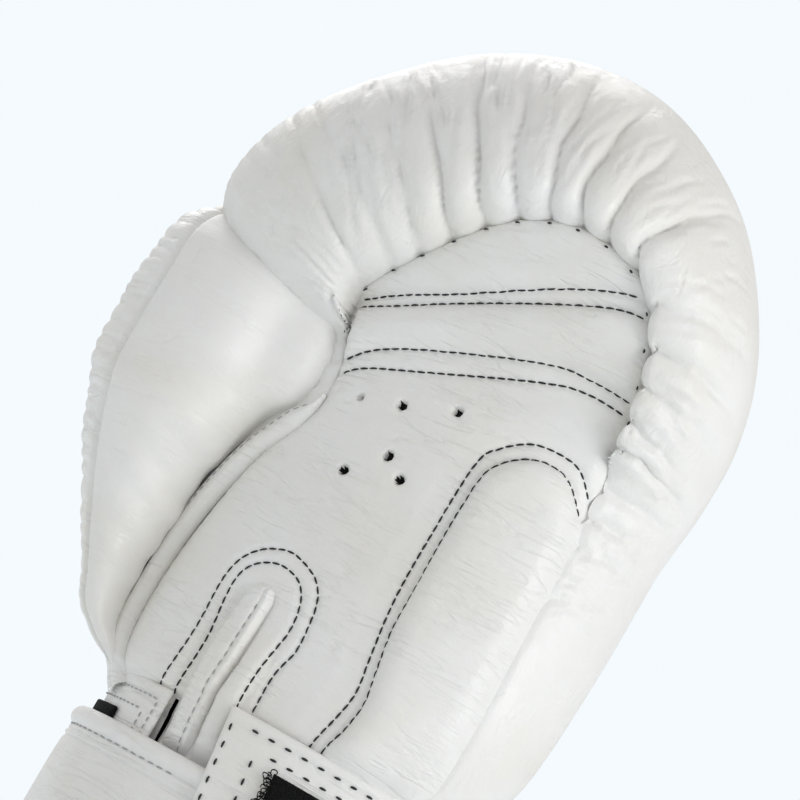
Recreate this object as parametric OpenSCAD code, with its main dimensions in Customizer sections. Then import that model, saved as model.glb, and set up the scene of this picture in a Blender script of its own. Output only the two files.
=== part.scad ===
// Boxing glove for the left hand, with a hook-and-loop wrist strap.
// Millimetres. +Z runs along the forearm towards the knuckles, the palm faces -Y,
// the thumb is at -X, and the origin is in the middle of the cuff's rim.

/* [Fist] */
// Height of the glove, from the cuff's rim to the top of the knuckles
glove_h = 315; // [305:1:325]
// Reach of the fist towards the little finger, from the middle of the cuff
fist_reach = 75; // [72:1:77]
// Reach of the back of the hand, from the middle of the cuff
back_reach = 55; // [52:1:58]
// Thickness of the leather
leather_t = 1.6; // [1.2:0.1:2]
// Thickness of the outer, softer layer of the fist's foam
outer_foam_t = 12; // [8:1:14]

/* [Hand space] */
// Width of the space for the wrapped hand
hand_w = 100; // [92:2:102]
// Thickness of the cloth lining
lining_t = 1.2; // [0.8:0.1:1.4]

/* [Palm] */
// Radius of the grip bar that the fingers close on
grip_r = 8; // [6:0.5:8]
// Thickness of the pad over the heel of the palm
heel_pad_t = 6; // [4:0.5:6]
// Radius of the vent holes
vent_r = 1.7; // [1.2:0.1:2]

/* [Wrist slit] */
// Distance of the slit's middle from the middle of the cuff, towards the thumb
slit_x = 25; // [23:1:28]
// Height of the slit's closed end
slit_top = 113; // [105:1:118]
// Width of the rolled binding on each side of the slit
slit_binding_w = 4.5; // [3.5:0.5:5]
// Width of the gap between the two bindings
slit_gap = 5; // [4:0.5:6]

/* [Thumb] */
// Wall of leather and foam round the thumb's own space
thumb_wall = 13; // [11:1:14]
// Width of the pleated strip along the thumb's edge
edge_strip_w = 10; // [8:1:12]

/* [Cuff] */
// Width of the cuff's foam, from thumb side to little-finger side
cuff_w = 122; // [118:1:126]
// Depth of the cuff's foam, from palm side to back
cuff_d = 90; // [86:1:94]
// Height of the cuff
cuff_h = 80; // [76:1:82]
// Height of the binding along the rim
rim_h = 5; // [4:0.5:7]
// Height of the black loop tape
loop_tape_h = 58; // [50:1:60]

/* [Strap] */
// Height of the strap's lower edge above the rim
strap_z = 2; // [1:0.5:6]
// Width of the strap
strap_w = 56; // [50:1:58]
// Thickness of the strap's padding
strap_pad_t = 2.4; // [1.6:0.2:3]
// Width of the rolled band along the strap's upper edge
strap_roll_w = 6.5; // [5:0.5:8]

/* [Hidden] */

gap = 0.2;              // room between two layers of one body
run_gap = 0.4;          // room between two bodies
seg = 36;               // points round a section
squareness = 0.9;       // 1 is an ellipse, less is squarer
far = 200;              // longer than any part of the glove is deep
rows_h = 315;           // height that the fist's sections are given for

// Sections of the fist: height, then reach to little finger, index finger, back
// and front, then the y of the widest line. The dome starts at dome_z.
dome_z = 226;
fist_rows = [
    [cuff_h, cuff_w / 2 + leather_t, cuff_w / 2 + leather_t, cuff_d / 2 + leather_t,
     cuff_d / 2 + leather_t, 0],
    [105, fist_reach - 4, 65, back_reach - 5, 49, 0],
    [145, fist_reach - 1, 66, back_reach - 2, 50, 0],
    [185, fist_reach, 68, back_reach, 53, -3],
    [196, fist_reach, 70, back_reach, 62, -8],
    [208, fist_reach, 88, back_reach, 80, -22],
    [dome_z, fist_reach, 97, back_reach, 92, -32],
    [245, fist_reach - 1, 92, back_reach - 2, 97, -32],
    [264, fist_reach - 4, 80, back_reach - 7, 97, -30],
    [287, fist_reach - 16, 60, back_reach - 19, 86, -27],
    [301, fist_reach - 31, 40, back_reach - 33, 70, -26],
    [311, fist_reach - 51, 20, 2, 48, -25],
    [315, 5, 4, -20, 30, -25]
];

// Sections of the thumb and of the hand space: height, middle x, half width,
// middle y, half depth.
thumb_rows = [
    [82, -57, 10, -30, 13], [94, -62, 15, -31, 20], [108, -67, 20, -33, 25],
    [131, -75, 26, -35, 28], [150, -79, 30, -36, 29], [171, -79, 34, -37, 29],
    [189, -80, 33, -38, 27], [200, -82, 28, -38, 23], [208, -85, 18, -38, 15],
    [212, -87, 6, -38, 6]
];
hand_rows = [
    [cuff_h, 0, hand_w / 2 + 4, 0, 38], [105, 0, hand_w / 2, -5, 34], [145, 0, hand_w / 2, -6, 31],
    [185, 0, hand_w / 2, -6, 26], [215, 0, hand_w / 2 - 1, -9, 26], [235, 0, hand_w / 2 - 4, -14, 28],
    [255, 0, hand_w / 2 - 10, -20, 28], [264, 0, hand_w / 2 - 22, -22, 18], [268, 0, 12, -22, 8]
];

// Outline of the palm panel in x and z: thumb seam, roll seam, little-finger seam.
palm_outline = [
    [-58, 60], [-57, 100], [-54, 125], [-46, 150], [-35, 172], [-36, 190], [-22, 207],
    [0, 238], [12, 247], [27, 252], [44, 249], [54, 236], [58, 215], [57, 180], [56, 104], [50, 60]
];
// Side view of the space in front of the finger panel, in y and z.
roll_hollow = [[-far, 180], [-52, 180], [-54, 205], [-78, 252], [-94, 280], [-far, 280]];

// Vent holes in the palm leather, x and z.
vent_holes = [[-8, 183], [9, 189], [-4, 167], [3, 162], [-15, 157], [-22, 180]];

grip_a = [-34, -43.5, 192];     // thumb-side end of the grip bar
grip_b = [50, -53.5, 225];      // little-finger end of the grip bar
heel_x = 38;                    // middle of the heel pad
heel_w = 34;
heel_z = [88, 188];
passage = [[-84, -36, 108], [56, 22, 48]];    // corner and size of the way into the thumb
palm_inside = -14;              // how far in from the front the palm panel's outline is cut
palm_tail_a = [230, 264];       // the palm leather's tail over the cuff
welt_t = 1.4;                   // how far the thumb's welt stands out of the seam
welt_w = 4;
welt_block = [[-70, -70, 84], [40, 60, 92]];  // corner and size of the welt's stretch of seam
thumb_seam_y = -50;             // seam between the thumb's front and its edge strip
thumb_foam_z = 82;              // lowest height of the thumb's foam
thumb_lining_z = 96;            // lowest height of its lining

cuff_foam_t = 4.8;
cuff_top = cuff_h - gap;
band_h = cuff_h - 1;
band_t = 1.8;
binding_a = [225, 262];         // stretch of the cuff that holds the slit's binding
binding_out = 2.6;              // the binding's outer and inner faces, out from the cuff's foam
binding_in = -6.2;
root_a = [-94.5, -79];          // the strap's sewn root, under the band's end
band_a = [-95, 229];            // the outer band's two ends, counter-clockwise
tape_a = [-78, 227];
tape_z = 9;
strap_a = [102, 261];           // the strap's free end and root
strap_pad_a = [106, 257];
lift_t = 4.4;                   // how far the band's end stands off over the strap's root
lift_span = 60;
tape_in = 2;                    // radial places, out from the cuff's foam
tape_out = 3.8;
strap_in = 4.2;
hook_a = [104, 165];
strap_skin = 1.1;
strap_mid = strap_in + strap_skin + gap;
strap_top = strap_mid + strap_pad_t + gap;

function signed_power(v, e) = sign(v) * pow(abs(v), e);

// One section as points, for reaches towards +X, -X, +Y and -Y from a middle.
function section(mid, reach, z) = [
    for (i = [0:seg - 1])
        let (c = cos(360 * i / seg), s = sin(360 * i / seg))
        [mid[0] + signed_power(c, squareness) * (c > 0 ? reach[0] : reach[1]),
         mid[1] + signed_power(s, squareness) * (s > 0 ? reach[2] : reach[3]), z]
];

// A closed solid through sections that all have seg points.
module loft(rings) {
    last = len(rings) - 1;
    polyhedron(
        points = [for (r = rings) each r],
        faces = concat(
            [[for (i = [0:seg - 1]) i]],
            [for (k = [0:last - 1], i = [0:seg - 1])
                let (j = (i + 1) % seg)
                [k * seg + i, (k + 1) * seg + i, (k + 1) * seg + j, k * seg + j]],
            [[for (i = [seg - 1:-1:0]) last * seg + i]]
        ),
        convexity = 8
    );
}

// How much of an inset a section takes: all of it low down, little near the top.
function dome_share(z, from, top) = z <= from ? 1 : sqrt(max(0.02, 1 - pow((z - from) / (top + 1 - from), 2)));
function dome_height(z, from, top, inset) = z <= from ? z : from + (z - from) * (top - inset - from) / (top - from);

// The whole fist, without the hollow in front of the fingers, inset evenly.
module fist_loft(inset) {
    tall = glove_h / rows_h;
    loft([for (r = fist_rows)
        let (k = inset * dome_share(r[0], dome_z, rows_h), drop = r[0] == cuff_h ? (inset > 0 ? 1 : 0) : 0)
        section([0, r[5]], [r[1] - k, r[2] - k, r[3] - k - r[5], r[4] - k + r[5]],
                (r[0] <= dome_z ? r[0] - drop : dome_height(r[0], dome_z, rows_h, inset) * tall))]);
}

module along_y(from, to) {
    translate([0, to, 0]) rotate([90, 0, 0]) linear_extrude(to - from) children();
}

module palm_prism(grow) {
    along_y(-far, palm_inside) offset(delta = grow) polygon(palm_outline);
}

// The fist with the hollow in front of the fingers.
module fist(inset) {
    difference() {
        fist_loft(inset);
        intersection() {
            palm_prism(inset);
            translate([-far, inset, 0]) rotate([90, 0, 90]) linear_extrude(2 * far) polygon(roll_hollow);
        }
    }
}

module oval_loft(rows, inset) {
    from = rows[len(rows) - 4][0];
    top = rows[len(rows) - 1][0];
    loft([for (r = rows)
        let (k = inset * dome_share(r[0], from, top), w = max(1, r[2] - k), d = max(1, r[4] - k))
        section([r[1], r[3]], [w, w, d, d], dome_height(r[0], from, top, inset) - (r[0] == rows[0][0] && inset > 0 ? 1 : 0))]);
}

module thumb(inset) {
    difference() {
        oval_loft(thumb_rows, inset);
        fist(-run_gap);
        palm_prism(welt_w / 2 + 3 * gap);
    }
}

module hand_space(inset) { oval_loft(hand_rows, inset); }

module thumb_way() { translate(passage[0]) cube(passage[1]); }

module slit(half_w) {
    along_y(-far, palm_inside - 6) {
        translate([-slit_x, slit_top - half_w]) circle(half_w, $fn = 48);
        translate([-slit_x - half_w, -10]) square([2 * half_w, slit_top - half_w + 10]);
    }
}

slit_half = slit_gap / 2 + slit_binding_w;

// A layer of the cuff between two distances out from its foam, between two
// angles and two heights. Near the band's end it stands off by lift.
function cuff_point(grow, a, lift) =
    let (up = lift * max(0, 1 - (a - band_a[0]) / lift_span), g = grow + up)
    [signed_power(cos(a), squareness) * (cuff_w / 2 + g), signed_power(sin(a), squareness) * (cuff_d / 2 + g)];

module layer(from, to, angles, z, h, lift = 0) {
    n = ceil((angles[1] - angles[0]) / 6);
    at = [for (i = [0:n]) angles[0] + (angles[1] - angles[0]) * i / n];
    translate([0, 0, z]) linear_extrude(h)
        polygon(concat([for (a = at) cuff_point(to, a, lift)],
                       [for (i = [n:-1:0]) cuff_point(from, at[i], lift)]));
}

module cuff_ring(from, to, z, h) {
    translate([0, 0, z]) linear_extrude(h) difference() {
        polygon([for (a = [0:6:354]) cuff_point(to, a, 0)]);
        polygon([for (a = [0:6:354]) cuff_point(from, a, 0)]);
    }
}

module fist_shell() {
    color("whitesmoke") difference() {
        fist(0);
        fist(leather_t);
        palm_prism(0);
        thumb_way();
        slit(slit_half + gap);
    }
}

module palm_panel() {
    color("white") difference() {
        union() {
            intersection() {
                difference() { fist(0); fist(leather_t); }
                palm_prism(-gap);
            }
            layer(0, leather_t, palm_tail_a, rim_h + gap, cuff_h - rim_h);
        }
        slit(slit_half + gap);
        thumb_way();
        for (p = vent_holes)
            translate([p[0], 0, p[1]]) rotate([90, 0, 0]) cylinder(h = far, r = vent_r, $fn = 24);
    }
}

module foam_outer() {
    color("gainsboro") difference() {
        fist(leather_t + gap);
        fist(leather_t + outer_foam_t);
        hand_space(-gap);
        palm_prism(0);
        thumb_way();
        translate([0, 0, -far]) cylinder(h = far + cuff_h, r = far);
    }
}

module foam_inner() {
    color("silver") difference() {
        fist(leather_t + outer_foam_t + gap);
        hand_space(-gap);
        palm_prism(0);
        thumb_way();
        translate([0, 0, -far]) cylinder(h = far + cuff_h, r = far);
    }
}

module heel_outline(grow) {
    along_y(-far, palm_inside) hull() for (z = heel_z)
        translate([heel_x, z + (z == heel_z[0] ? 1 : -1) * heel_w / 2]) circle(heel_w / 2 + grow, $fn = 32);
}

module palm_foam() {
    color("gainsboro") difference() {
        intersection() { fist(leather_t + gap); palm_prism(-gap); }
        hand_space(-gap);
        difference() { heel_outline(gap); fist(leather_t + heel_pad_t + 2 * gap); }
        grip(grip_r + gap);
        slit(slit_half + gap);
        thumb_way();
        translate([0, 0, -far]) cylinder(h = far + cuff_h, r = far);
    }
}

module grip(r) {
    d = grip_b - grip_a;
    translate(grip_a) rotate([0, acos(d[2] / norm(d)), atan2(d[1], d[0])]) {
        cylinder(h = norm(d), r = r, $fn = 32);
        sphere(r, $fn = 32);
        translate([0, 0, norm(d)]) sphere(r, $fn = 32);
    }
}

module grip_bar() {
    color("dimgray") difference() {
        intersection() { grip(grip_r); fist(leather_t + gap); palm_prism(-gap); }
        hand_space(-gap);
    }
}

module heel_pad() {
    color("silver") difference() {
        intersection() { fist(leather_t + gap); heel_outline(0); palm_prism(-gap); }
        fist(leather_t + heel_pad_t);
        hand_space(-gap);
        translate([0, 0, -far]) cylinder(h = far + cuff_h, r = far);
    }
}

module hand_lining() {
    color("black") difference() {
        hand_space(0);
        hand_space(lining_t);
        thumb_way();
        slit(slit_half + gap);
    }
}

module thumb_welt() {
    color("whitesmoke") difference() {
        intersection() {
            fist(-welt_t);
            palm_prism(welt_w / 2);
            translate(welt_block[0]) cube(welt_block[1]);
        }
        fist(-gap);
        palm_prism(-welt_w / 2);
    }
}

module slit_binding() {
    color("white") difference() {
        intersection() {
            slit(slit_half);
            union() {
                layer(binding_in, binding_out, binding_a, rim_h + gap, cuff_h - rim_h - gap / 2);
                difference() { fist(-leather_t / 2); fist(7); }
            }
        }
        slit(slit_gap / 2);
    }
}

module cuff_band() {
    color("white") layer(0, band_t, band_a, rim_h + gap, band_h - rim_h - gap, lift_t);
}

module cuff_foam() {
    color("gainsboro") difference() {
        cuff_ring(-cuff_foam_t, -gap, rim_h + gap, cuff_top - rim_h - gap);
        slit(slit_half + gap);
    }
}

module cuff_lining() {
    color("black") difference() {
        cuff_ring(-cuff_foam_t - gap - lining_t, -cuff_foam_t - gap, rim_h + gap, cuff_top - rim_h - gap - 1);
        slit(slit_half + gap);
    }
}

module rim_binding() {
    color("white") difference() {
        cuff_ring(-cuff_foam_t - gap - lining_t, band_t, 0, rim_h);
        slit(slit_gap / 2);
    }
}

module loop_tape() {
    color("black") layer(tape_in, tape_out, tape_a, tape_z, loop_tape_h, lift_t);
}

module strap_root() {
    color("whitesmoke") layer(gap, gap + leather_t, root_a, strap_z + 6, strap_w - 8);
}

module thumb_part(y0, y1) {
    intersection() {
        difference() { thumb(0); thumb(leather_t); thumb_way(); }
        translate([-far, y0, 0]) cube([2 * far, y1 - y0, 2 * far]);
    }
}

module thumb_front() { color("white") thumb_part(-far, thumb_seam_y - gap / 2); }
module thumb_edge_strip() {
    color("whitesmoke") thumb_part(thumb_seam_y + gap / 2, thumb_seam_y + edge_strip_w - gap / 2);
}
module thumb_back() { color("white") thumb_part(thumb_seam_y + edge_strip_w + gap / 2, far); }

module thumb_foam() {
    color("gainsboro") difference() {
        thumb(leather_t + gap);
        thumb(thumb_wall);
        thumb_way();
        translate([0, 0, -far]) cylinder(h = far + thumb_foam_z, r = far);
    }
}

module thumb_lining() {
    color("black") difference() {
        thumb(thumb_wall + gap);
        thumb(thumb_wall + gap + lining_t);
        thumb_way();
        translate([0, 0, -far]) cylinder(h = far + thumb_lining_z, r = far);
    }
}

module strap_outer() {
    color("white") layer(strap_top, strap_top + strap_skin, strap_pad_a, strap_z, strap_w);
}

module strap_padding() {
    color("gainsboro") layer(strap_mid, strap_mid + strap_pad_t, strap_pad_a, strap_z + 1, strap_w - 2 - strap_roll_w);
}

module strap_inner() {
    color("whitesmoke") layer(strap_in, strap_in + strap_skin, [hook_a[1] + 1, strap_a[1]], strap_z, strap_w);
}

module strap_cord() {
    color("white") layer(strap_mid, strap_mid + strap_pad_t, strap_pad_a, strap_z + strap_w - strap_roll_w,
                         strap_roll_w - 1);
}

module hook_patch() {
    color("black") layer(strap_in, strap_in + strap_skin, hook_a, strap_z + 3, strap_w - 6);
}

fist_shell();
palm_panel();
foam_outer();
foam_inner();
palm_foam();
grip_bar();
heel_pad();
hand_lining();
thumb_welt();
slit_binding();
cuff_band();
cuff_foam();
cuff_lining();
rim_binding();
loop_tape();
strap_root();
thumb_front();
thumb_edge_strip();
thumb_back();
thumb_foam();
thumb_lining();
strap_outer();
strap_padding();
strap_inner();
strap_cord();
hook_patch();
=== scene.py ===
import math

import bmesh
import bpy
import numpy as np
from mathutils import Matrix, Vector
from mathutils.bvhtree import BVHTree


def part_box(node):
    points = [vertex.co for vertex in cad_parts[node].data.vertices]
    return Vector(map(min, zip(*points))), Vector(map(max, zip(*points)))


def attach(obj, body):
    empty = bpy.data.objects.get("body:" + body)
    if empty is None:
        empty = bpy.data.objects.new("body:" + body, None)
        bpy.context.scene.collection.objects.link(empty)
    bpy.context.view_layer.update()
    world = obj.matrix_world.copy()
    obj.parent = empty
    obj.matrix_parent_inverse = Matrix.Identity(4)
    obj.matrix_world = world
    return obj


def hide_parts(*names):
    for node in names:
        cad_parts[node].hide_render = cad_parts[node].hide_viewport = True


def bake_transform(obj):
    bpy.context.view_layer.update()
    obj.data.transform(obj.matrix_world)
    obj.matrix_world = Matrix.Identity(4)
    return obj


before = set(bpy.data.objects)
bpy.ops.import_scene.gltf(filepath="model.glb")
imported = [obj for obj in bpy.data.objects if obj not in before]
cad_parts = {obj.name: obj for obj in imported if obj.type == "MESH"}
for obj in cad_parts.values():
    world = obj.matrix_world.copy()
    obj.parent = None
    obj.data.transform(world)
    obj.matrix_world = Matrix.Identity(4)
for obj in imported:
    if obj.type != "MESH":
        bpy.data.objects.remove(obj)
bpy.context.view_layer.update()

MM = 0.001
np.random.seed(7)

# ---- Studio: camera, floor and lights -----------------------------------
# The camera looks at the palm from a little to the little-finger side and
# from slightly below, turned so that the glove leans to the right.
azimuth, elevation, roll = math.radians(20), math.radians(-10), math.radians(30)
camera_distance = 1.0
level = Vector((math.cos(azimuth), math.sin(azimuth), 0))
looks = Vector((-math.sin(azimuth) * math.cos(elevation),
                math.cos(azimuth) * math.cos(elevation), -math.sin(elevation)))
rises = level.cross(looks)
aim = level * -0.0268 + rises * 0.1894
right = level * math.cos(roll) + rises * math.sin(roll)
up = rises * math.cos(roll) - level * math.sin(roll)
camera_data = bpy.data.cameras.new("Camera")
camera_data.lens = 142.5
camera = bpy.data.objects.new("Camera", camera_data)
bpy.context.scene.collection.objects.link(camera)
camera.matrix_world = Matrix(((right.x, up.x, -looks.x, (aim - looks * camera_distance).x),
                              (right.y, up.y, -looks.y, (aim - looks * camera_distance).y),
                              (right.z, up.z, -looks.z, (aim - looks * camera_distance).z),
                              (0, 0, 0, 1)))
bpy.context.scene.camera = camera


def soft_light(name, place, size, power, colour=(1, 1, 1)):
    """A square area light at place, turned to the middle of the glove."""
    data = bpy.data.lights.new(name, "AREA")
    data.shape = "SQUARE"
    data.size = size
    data.energy = power
    data.color = colour
    lamp = bpy.data.objects.new(name, data)
    bpy.context.scene.collection.objects.link(lamp)
    lamp.location = place
    lamp.rotation_euler = (Vector((0, 0, 0.19)) - Vector(place)).to_track_quat("-Z", "Y").to_euler()


soft_light("key", tuple(aim - looks * 0.85 - right * 0.75 + up * 0.1), 0.5, 66, (1, 0.985, 0.96))
soft_light("fill", tuple(aim - looks * 0.7 + right * 0.9 - up * 0.5), 0.9, 9)
soft_light("back", tuple(aim + looks * 0.9 + up * 0.8), 0.9, 6.0)
world = bpy.data.worlds.new("pale")
bpy.context.scene.world = world
world.use_nodes = True
sky = world.node_tree
shown = sky.nodes["Background"]
shown.inputs["Color"].default_value = (0.905, 0.955, 0.99, 1)
lit = sky.nodes.new("ShaderNodeBackground")
lit.inputs["Color"].default_value = (1, 0.995, 0.985, 1)
lit.inputs["Strength"].default_value = 0.62
pick = sky.nodes.new("ShaderNodeMixShader")
sky.links.new(sky.nodes.new("ShaderNodeLightPath").outputs["Is Camera Ray"], pick.inputs["Fac"])
sky.links.new(lit.outputs["Background"], pick.inputs[1])
sky.links.new(shown.outputs["Background"], pick.inputs[2])
sky.links.new(pick.outputs["Shader"], sky.nodes["World Output"].inputs["Surface"])
bpy.context.scene.view_settings.view_transform = "Standard"

bpy.ops.mesh.primitive_plane_add(size=6, location=(0, 0, -0.0005))
floor = bpy.context.object
floor.name = "floor"
floor_finish = bpy.data.materials.new("floor")
floor_finish.use_nodes = True
floor_finish.node_tree.nodes["Principled BSDF"].inputs["Base Color"].default_value = (0.88, 0.92, 0.95, 1)
floor_finish.node_tree.nodes["Principled BSDF"].inputs["Roughness"].default_value = 0.8
floor.data.materials.append(floor_finish)


# ---- Fist shell ----------------------------------------------------------
# One piece of white leather over the back, the knuckles and the finger roll.
# Its front edge is gathered in pleats into the curved seam round the palm.
def through(rows, steps):
    """A smooth curve through the rows, with steps points to each interval."""
    rows = np.array(rows, float)
    before = np.vstack([2 * rows[0] - rows[1], rows, 2 * rows[-1] - rows[-2]])
    u = np.linspace(0, 1, steps, endpoint=False)[:, None]
    parts = []
    for a, b, c, d in zip(before, before[1:], before[2:], before[3:]):
        parts.append(0.5 * (2 * b + (c - a) * u + (2 * a - 5 * b + 4 * c - d) * u ** 2
                            + (3 * b - a - 3 * c + d) * u ** 3))
    return np.vstack(parts + [rows[-1:]])


def evenly(points, count):
    """The curve through points again, with count points at equal distances."""
    reach = np.r_[0, np.cumsum(np.linalg.norm(np.diff(points, axis=0), axis=1))]
    at = np.linspace(0, reach[-1], count)
    return np.stack([np.interp(at, reach, points[:, k]) for k in range(points.shape[1])], 1)


def signed_power(v, e):
    return np.sign(v) * np.abs(v) ** e


def smooth_step(v):
    v = np.clip(v, 0, 1)
    return v * v * (3 - 2 * v)


def section(mid_x, mid_y, reaches, angles):
    """x and y round one section, with reaches towards +x, -x, +y and -y."""
    c, s = signed_power(np.cos(angles), 0.9), signed_power(np.sin(angles), 0.9)
    return (mid_x + c * np.where(c > 0, reaches[0], reaches[1]),
            mid_y + s * np.where(s > 0, reaches[2], reaches[3]))


def grid_faces(rows, columns, closed):
    """Corner numbers of the quads of a grid whose columns may close on themselves."""
    k, i = np.meshgrid(np.arange(rows - 1), np.arange(columns if closed else columns - 1), indexing="ij")
    j = (i + 1) % columns
    return np.stack([k * columns + i, k * columns + j, (k + 1) * columns + j, (k + 1) * columns + i],
                    -1).reshape(-1, 4)


def new_piece(name, points, faces, material=None):
    """A smooth-shaded mesh object from points in millimetres."""
    used, numbers = np.unique(np.asarray(faces), return_inverse=True)
    numbers = numbers.reshape(np.asarray(faces).shape)
    mesh = bpy.data.meshes.new(name)
    mesh.from_pydata((np.asarray(points).reshape(-1, 3)[used] * MM).tolist(), [], numbers.tolist())
    mesh.validate()
    mesh.polygons.foreach_set("use_smooth", [True] * len(mesh.polygons))
    piece = bpy.data.objects.new(name, mesh)
    bpy.context.scene.collection.objects.link(piece)
    if material:
        mesh.materials.append(material)
    return piece


def normals_of(points, faces):
    """Unit normals at the points of a quad mesh."""
    p = points.reshape(-1, 3)
    a, b, c, d = (p[faces[:, k]] for k in range(4))
    n = np.cross(c - a, d - b)
    total = np.zeros_like(p)
    for k in range(4):
        np.add.at(total, faces[:, k], n)
    return total / np.maximum(np.linalg.norm(total, axis=1, keepdims=True), 1e-9)


# height, reach to little finger, index finger, back and front, y of the widest line
fist_rows = [
    (60, 58, 57.5, 43.2, 43.2, 0), (74, 60.5, 60, 45, 45, 0), (81, 63.5, 62.8, 46.8, 46.8, 0),
    (105, 71, 65, 50, 49, 0), (145, 74, 66, 53, 50, 0),
    (180, 75, 67, 55, 51.5, -2), (191, 76.3, 68, 55, 52.5, -3), (196, 77.3, 72, 55, 58, -7),
    (199, 78, 82, 55, 72, -17), (204, 79, 91.5, 55, 81, -25), (212, 80, 98, 55, 88, -30),
    (226, 81.5, 102.5, 55, 93, -32),
    (245, 79, 97.5, 53, 96, -32), (264, 71, 84, 48, 96, -30), (287, 55, 61.5, 36, 85, -27),
    (301, 38, 41, 22, 70, -26), (310, 21, 22, 4, 51, -25),
    (313.5, 5, 5, -19, 31, -25), (313.9, 0.6, 0.6, -24.4, 25.6, -25),
]
fist_curve = evenly(through(fist_rows, 24), 310)
front_angles = np.radians(np.linspace(180, 360, 240, endpoint=False))
back_angles = np.radians(np.linspace(0, 180, 76, endpoint=False))
fist_angles = np.r_[front_angles, back_angles]


def fist_section(z, pinky, index, back, front, mid):
    """One section of the fist's full form."""
    middle = np.where(np.cos(fist_angles) > 0, max(mid, -3 - 27 * smooth_step((z - 185) / 75)), mid)
    x, y = section(0, middle, (pinky, index, back - middle, front + middle), fist_angles)
    return np.stack([x, y, np.full_like(x, z)], 1)


heights = fist_curve[:, 0]
fist_points = []
for row in fist_curve:
    weights = np.exp(-((heights - row[0]) / 13) ** 2) * np.maximum(np.gradient(heights), 1e-3)
    calm = np.average(fist_curve, axis=0, weights=weights)
    calm[0], calm[3] = row[0], row[3]
    calm[2] = min(calm[2], 66 + 0.35 * (calm[2] - 66))
    rear = smooth_step((row[0] - 95) / 50) * smooth_step((292 - row[0]) / 35)
    rear = rear * smooth_step(1.6 * np.sin(fist_angles))
    fist_points.append(fist_section(*row) * (1 - rear[:, None]) + fist_section(*calm) * rear[:, None])
fist_points = np.array(fist_points)
fist_faces = grid_faces(len(fist_curve), len(fist_angles), True)
form = BVHTree.FromPolygons((fist_points.reshape(-1, 3)).tolist(), fist_faces.tolist())

# palm panel: depth and y of the widest line by height
palm_depths = through([(0, 42.4, 0), (56, 42.8, 0), (67, 44.6, 0), (74, 45.6, 0), (81, 47.3, 0),
                       (105, 49, 0), (145, 50, 0), (185, 52, -3), (205, 54, -15),
                       (228, 65, -30), (250, 79, -35), (275, 95, -35)], 10)


def palm_y(x, z):
    """The plain surface of the palm."""
    depth, mid = (np.interp(z, palm_depths[:, 0], palm_depths[:, k]) for k in (1, 2))
    half = np.where(x > 0, 76, 68)
    return mid - (depth + mid) * np.maximum(1e-4, 1 - np.abs(x / half) ** 2.22) ** 0.45


palm_outline = evenly(through([
    (-49, 4), (-50, 50), (-53.5, 67), (-58, 79), (-59, 95), (-57, 112), (-53, 130), (-46, 151),
    (-35, 170), (-34.5, 184), (-38, 197), (-40.5, 206), (-37, 213), (-20, 228.5), (-4, 241), (10, 248),
    (26, 251), (42, 248), (50, 241), (55, 229), (57, 213),
    (56, 185), (56, 137), (56, 107), (54, 88), (51, 76), (48, 50), (46, 4)], 20), 900)
outline_step = np.linalg.norm(palm_outline[1] - palm_outline[0])


def tuck(x, z):
    """How far the leather is drawn in below the cuff band's thumb-side end."""
    return 3.4 * smooth_step((74 - z) / 4) * smooth_step((-26 - x) / 3)


def from_outline(x, z):
    """Nearest place on the palm's outline, and the distance, negative inside."""
    best = np.full(x.shape, 1e9)
    where = np.zeros(x.shape, int)
    for first in range(0, len(palm_outline), 50):
        part = palm_outline[first:first + 50]
        far = np.hypot(x[:, None] - part[:, 0], z[:, None] - part[:, 1])
        nearest = far.argmin(1)
        far = far[np.arange(len(x)), nearest]
        closer = far < best
        best[closer], where[closer] = far[closer], first + nearest[closer]
    along = np.gradient(palm_outline, axis=0)
    inside = (along[where, 0] * (z - palm_outline[where, 1])
              - along[where, 1] * (x - palm_outline[where, 0])) < 0
    return where, np.where(inside, -best, best)


def form_y(x, z):
    """The front of the fist's full form at x and z."""
    hit = form.ray_cast(Vector((x, -300, z)), Vector((0, 1, 0)))[0]
    return hit.y if hit else None


seam_form_y = np.array([form_y(x, max(z, 60.5)) or palm_y(x, z) for x, z in palm_outline])
arch_start = int(np.argmax(palm_outline[:, 1] > 203))
arch_end = int(len(palm_outline) - np.argmax(palm_outline[::-1, 1] > 140))
last_number = len(palm_outline) - 1
seam_palm_y = palm_y(palm_outline[:, 0], palm_outline[:, 1])
roll_height = np.pad(np.maximum(seam_palm_y - seam_form_y, 0), 12, "edge")
roll_height = np.convolve(roll_height, np.ones(25) / 25, "valid")

p = fist_points.reshape(-1, 3).copy()
plain = p.copy()
where, signed = from_outline(p[:, 0], p[:, 2])
seam_points = np.stack([palm_outline[where, 0], seam_form_y[where], palm_outline[where, 1]], 1)
apart = np.linalg.norm(p - seam_points, axis=1) * np.sign(signed)
is_front = p[:, 1] < -4
edge_sink = 2.2
height = roll_height[where]
width = np.maximum(height * 1.1, 5)
share = np.clip(apart / width, 0, 1)
drop = (height + edge_sink) * (1 - np.sqrt(1 - (1 - share) ** 2))
drop = np.where(apart < 0, height + edge_sink + 1.2, drop)
pull = np.where(apart > 0, width * ((1 - np.cos(share * math.pi / 2)) - share), 0)
out = np.stack([p[:, 0] - palm_outline[where, 0], np.zeros(len(p)), p[:, 2] - palm_outline[where, 1]], 1)
out /= np.maximum(np.linalg.norm(out, axis=1, keepdims=True), 1e-6)
p[:, 1] += np.where(is_front, drop, 0)
p += out * np.where(is_front, pull * 0.8, 0)[:, None]
fist_keep = ~((signed < -3) & is_front)
fist_normals = normals_of(p, fist_faces)

centre = Vector((-5, -20, 190))


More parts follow.
